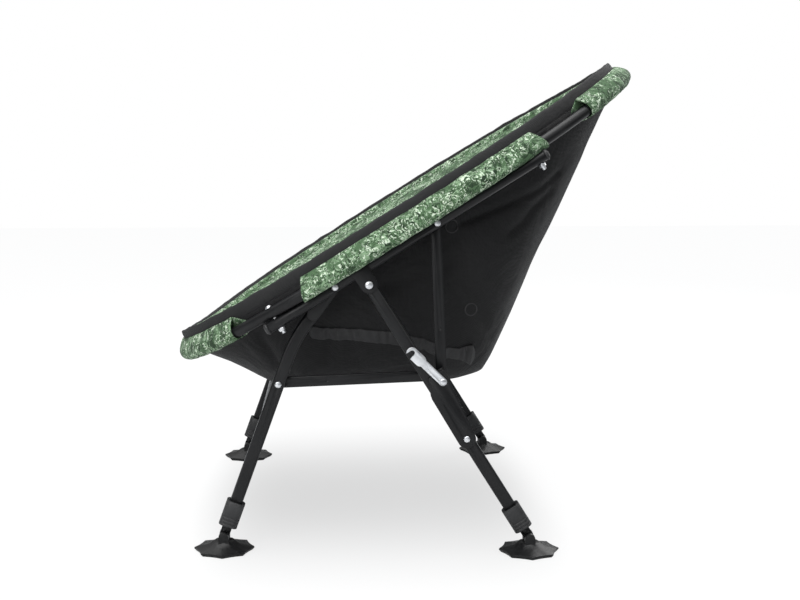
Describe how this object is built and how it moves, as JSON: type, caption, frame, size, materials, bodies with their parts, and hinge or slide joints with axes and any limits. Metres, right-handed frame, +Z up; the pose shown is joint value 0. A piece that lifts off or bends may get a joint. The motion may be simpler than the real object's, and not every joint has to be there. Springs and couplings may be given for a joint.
{
  "type": "folding bucket chair",
  "caption": "Low folding bank-side chair: padded bucket in a hoop on side rails, with lever-folded legs, sliding stems and tilting feet.",
  "frame": {"origin": "on the ground, under the middle of the chair as it stands", "axes": "+X to the sitter's left, -Y the way the sitter faces, +Z up"},
  "size_m": [0.686, 0.7058, 0.6945],
  "materials": {
    "frame_black": "satin powder coat",
    "plastic_black": "fine matt grain",
    "zinc_silver": "bright zinc",
    "camo_cloth": "printed camo weave",
    "cloth_black": "coated woven cloth",
    "foot_black": "soft matt moulding"
  },
  "bodies": {
    "seat_frame": {"rail_left": "frame_black", "rail_right": "frame_black", "rail_cap_front_left": "plastic_black", "rail_cap_front_right": "plastic_black", "rail_cap_rear_left": "plastic_black", "rail_cap_rear_right": "plastic_black", "clamp_bolt_front_left": "zinc_silver", "clamp_bolt_front_right": "zinc_silver", "clamp_bolt_rear_left": "zinc_silver", "clamp_bolt_rear_right": "zinc_silver", "rear_leg_saddle_left": "frame_black", "rear_leg_saddle_right": "frame_black", "front_leg_rivet_left": "zinc_silver", "front_leg_rivet_right": "zinc_silver", "post_rivet_left": "zinc_silver", "post_rivet_right": "zinc_silver", "side_sleeve_left": "camo_cloth", "side_sleeve_right": "camo_cloth", "hoop": "frame_black", "front_sleeve": "camo_cloth", "rear_sleeve": "camo_cloth", "seat_sling": "cloth_black", "seat_pad": "camo_cloth"},
    "front_legs": {"front_leg_left": "frame_black", "front_leg_right": "frame_black", "front_yoke_left": "frame_black", "front_yoke_right": "frame_black", "brace_rivet_left": "zinc_silver", "brace_rivet_right": "zinc_silver", "front_collar_left": "plastic_black", "front_collar_right": "plastic_black", "front_cross_rod": "zinc_silver"},
    "rear_legs": {"rear_leg_left": "frame_black", "rear_leg_right": "frame_black", "lever_rivet_left": "zinc_silver", "lever_rivet_right": "zinc_silver", "rear_collar_left": "plastic_black", "rear_collar_right": "plastic_black", "rear_cross_rod": "zinc_silver"},
    "brace_left": {"brace_left": "frame_black"},
    "post_left": {"post_left": "frame_black"},
    "lever_left": {"lever_left": "frame_black", "knuckle_pin_left": "zinc_silver"},
    "latch_left": {"latch_link_left": "zinc_silver"},
    "front_stem_left": {"front_stem_left": "frame_black"},
    "front_foot_left": {"front_foot_left": "foot_black"},
    "rear_stem_left": {"rear_stem_left": "frame_black"},
    "rear_foot_left": {"rear_foot_left": "foot_black"},
    "brace_right": {"brace_right": "frame_black"},
    "post_right": {"post_right": "frame_black"},
    "lever_right": {"lever_right": "frame_black", "knuckle_pin_right": "zinc_silver"},
    "latch_right": {"latch_link_right": "zinc_silver"},
    "front_stem_right": {"front_stem_right": "frame_black"},
    "front_foot_right": {"front_foot_right": "foot_black"},
    "rear_stem_right": {"rear_stem_right": "frame_black"},
    "rear_foot_right": {"rear_foot_right": "foot_black"}
  },
  "joints": [
    {"name": "fold", "type": "hinge", "parent": "seat_frame", "child": "front_legs", "pos_m": [0, -0.10799, 0.3835], "axis": [1, 0, 0], "range_deg": [0, 118], "deforming": ["seat_sling", "seat_pad"]},
    {"name": "rear_fold", "type": "hinge", "parent": "seat_frame", "child": "rear_legs", "pos_m": [0, -0.06113, 0.38683], "axis": [1, 0, 0], "range_deg": [-1, 71]},
    {"name": "brace_fold_left", "type": "hinge", "parent": "front_legs", "child": "brace_left", "pos_m": [0.261, -0.189, 0.242], "axis": [1, 0, 0], "range_deg": [-91, 1]},
    {"name": "post_fold_left", "type": "hinge", "parent": "seat_frame", "child": "post_left", "pos_m": [0.283, 0.03321, 0.47173], "axis": [1, 0, 0], "range_deg": [-1, 97]},
    {"name": "lever_fold_left", "type": "hinge", "parent": "rear_legs", "child": "lever_left", "pos_m": [0.3, 0.0759, 0.16753], "axis": [1, 0, 0], "range_deg": [-133.5, 1.5]},
    {"name": "latch_lift_left", "type": "hinge", "parent": "lever_left", "child": "latch_left", "pos_m": [0.311, 0.0416, 0.2502], "axis": [-1, 0, 0], "range_deg": [0, 70]},
    {"name": "front_height_left", "type": "slide", "parent": "front_legs", "child": "front_stem_left", "axis": [0, -0.342, -0.9397], "range_m": [0, 0.08]},
    {"name": "front_tilt_left", "type": "hinge", "parent": "front_stem_left", "child": "front_foot_left", "pos_m": [0.272, -0.26907, 0.022], "axis": [1, 0, 0], "range_deg": [-30, 30]},
    {"name": "rear_height_left", "type": "slide", "parent": "rear_legs", "child": "rear_stem_left", "axis": [0, 0.5299, -0.848], "range_m": [0, 0.08]},
    {"name": "rear_tilt_left", "type": "hinge", "parent": "rear_stem_left", "child": "rear_foot_left", "pos_m": [0.3, 0.16684, 0.022], "axis": [1, 0, 0], "range_deg": [-30, 30]},
    {"name": "brace_fold_right", "type": "hinge", "parent": "front_legs", "child": "brace_right", "pos_m": [-0.261, -0.189, 0.242], "axis": [1, 0, 0], "range_deg": [-91, 1]},
    {"name": "post_fold_right", "type": "hinge", "parent": "seat_frame", "child": "post_right", "pos_m": [-0.283, 0.03321, 0.47173], "axis": [1, 0, 0], "range_deg": [-1, 97]},
    {"name": "lever_fold_right", "type": "hinge", "parent": "rear_legs", "child": "lever_right", "pos_m": [-0.3, 0.0759, 0.16753], "axis": [1, 0, 0], "range_deg": [-133.5, 1.5]},
    {"name": "latch_lift_right", "type": "hinge", "parent": "lever_right", "child": "latch_right", "pos_m": [-0.311, 0.0416, 0.2502], "axis": [-1, 0, 0], "range_deg": [0, 70]},
    {"name": "front_height_right", "type": "slide", "parent": "front_legs", "child": "front_stem_right", "axis": [0, -0.342, -0.9397], "range_m": [0, 0.08]},
    {"name": "front_tilt_right", "type": "hinge", "parent": "front_stem_right", "child": "front_foot_right", "pos_m": [-0.272, -0.26907, 0.022], "axis": [1, 0, 0], "range_deg": [-30, 30]},
    {"name": "rear_height_right", "type": "slide", "parent": "rear_legs", "child": "rear_stem_right", "axis": [0, 0.5299, -0.848], "range_m": [0, 0.08]},
    {"name": "rear_tilt_right", "type": "hinge", "parent": "rear_stem_right", "child": "rear_foot_right", "pos_m": [-0.3, 0.16684, 0.022], "axis": [1, 0, 0], "range_deg": [-30, 30]}
  ],
  "couplings": [
    {"joint": "rear_fold", "follows": "fold", "ratio": 0.591},
    {"joint": "brace_fold_left", "follows": "fold", "ratio": -0.755},
    {"joint": "post_fold_left", "follows": "fold", "ratio": 0.809},
    {"joint": "lever_fold_left", "follows": "fold", "ratio": -1.119},
    {"joint": "brace_fold_right", "follows": "fold", "ratio": -0.755},
    {"joint": "post_fold_right", "follows": "fold", "ratio": 0.809},
    {"joint": "lever_fold_right", "follows": "fold", "ratio": -1.119}
  ]
}
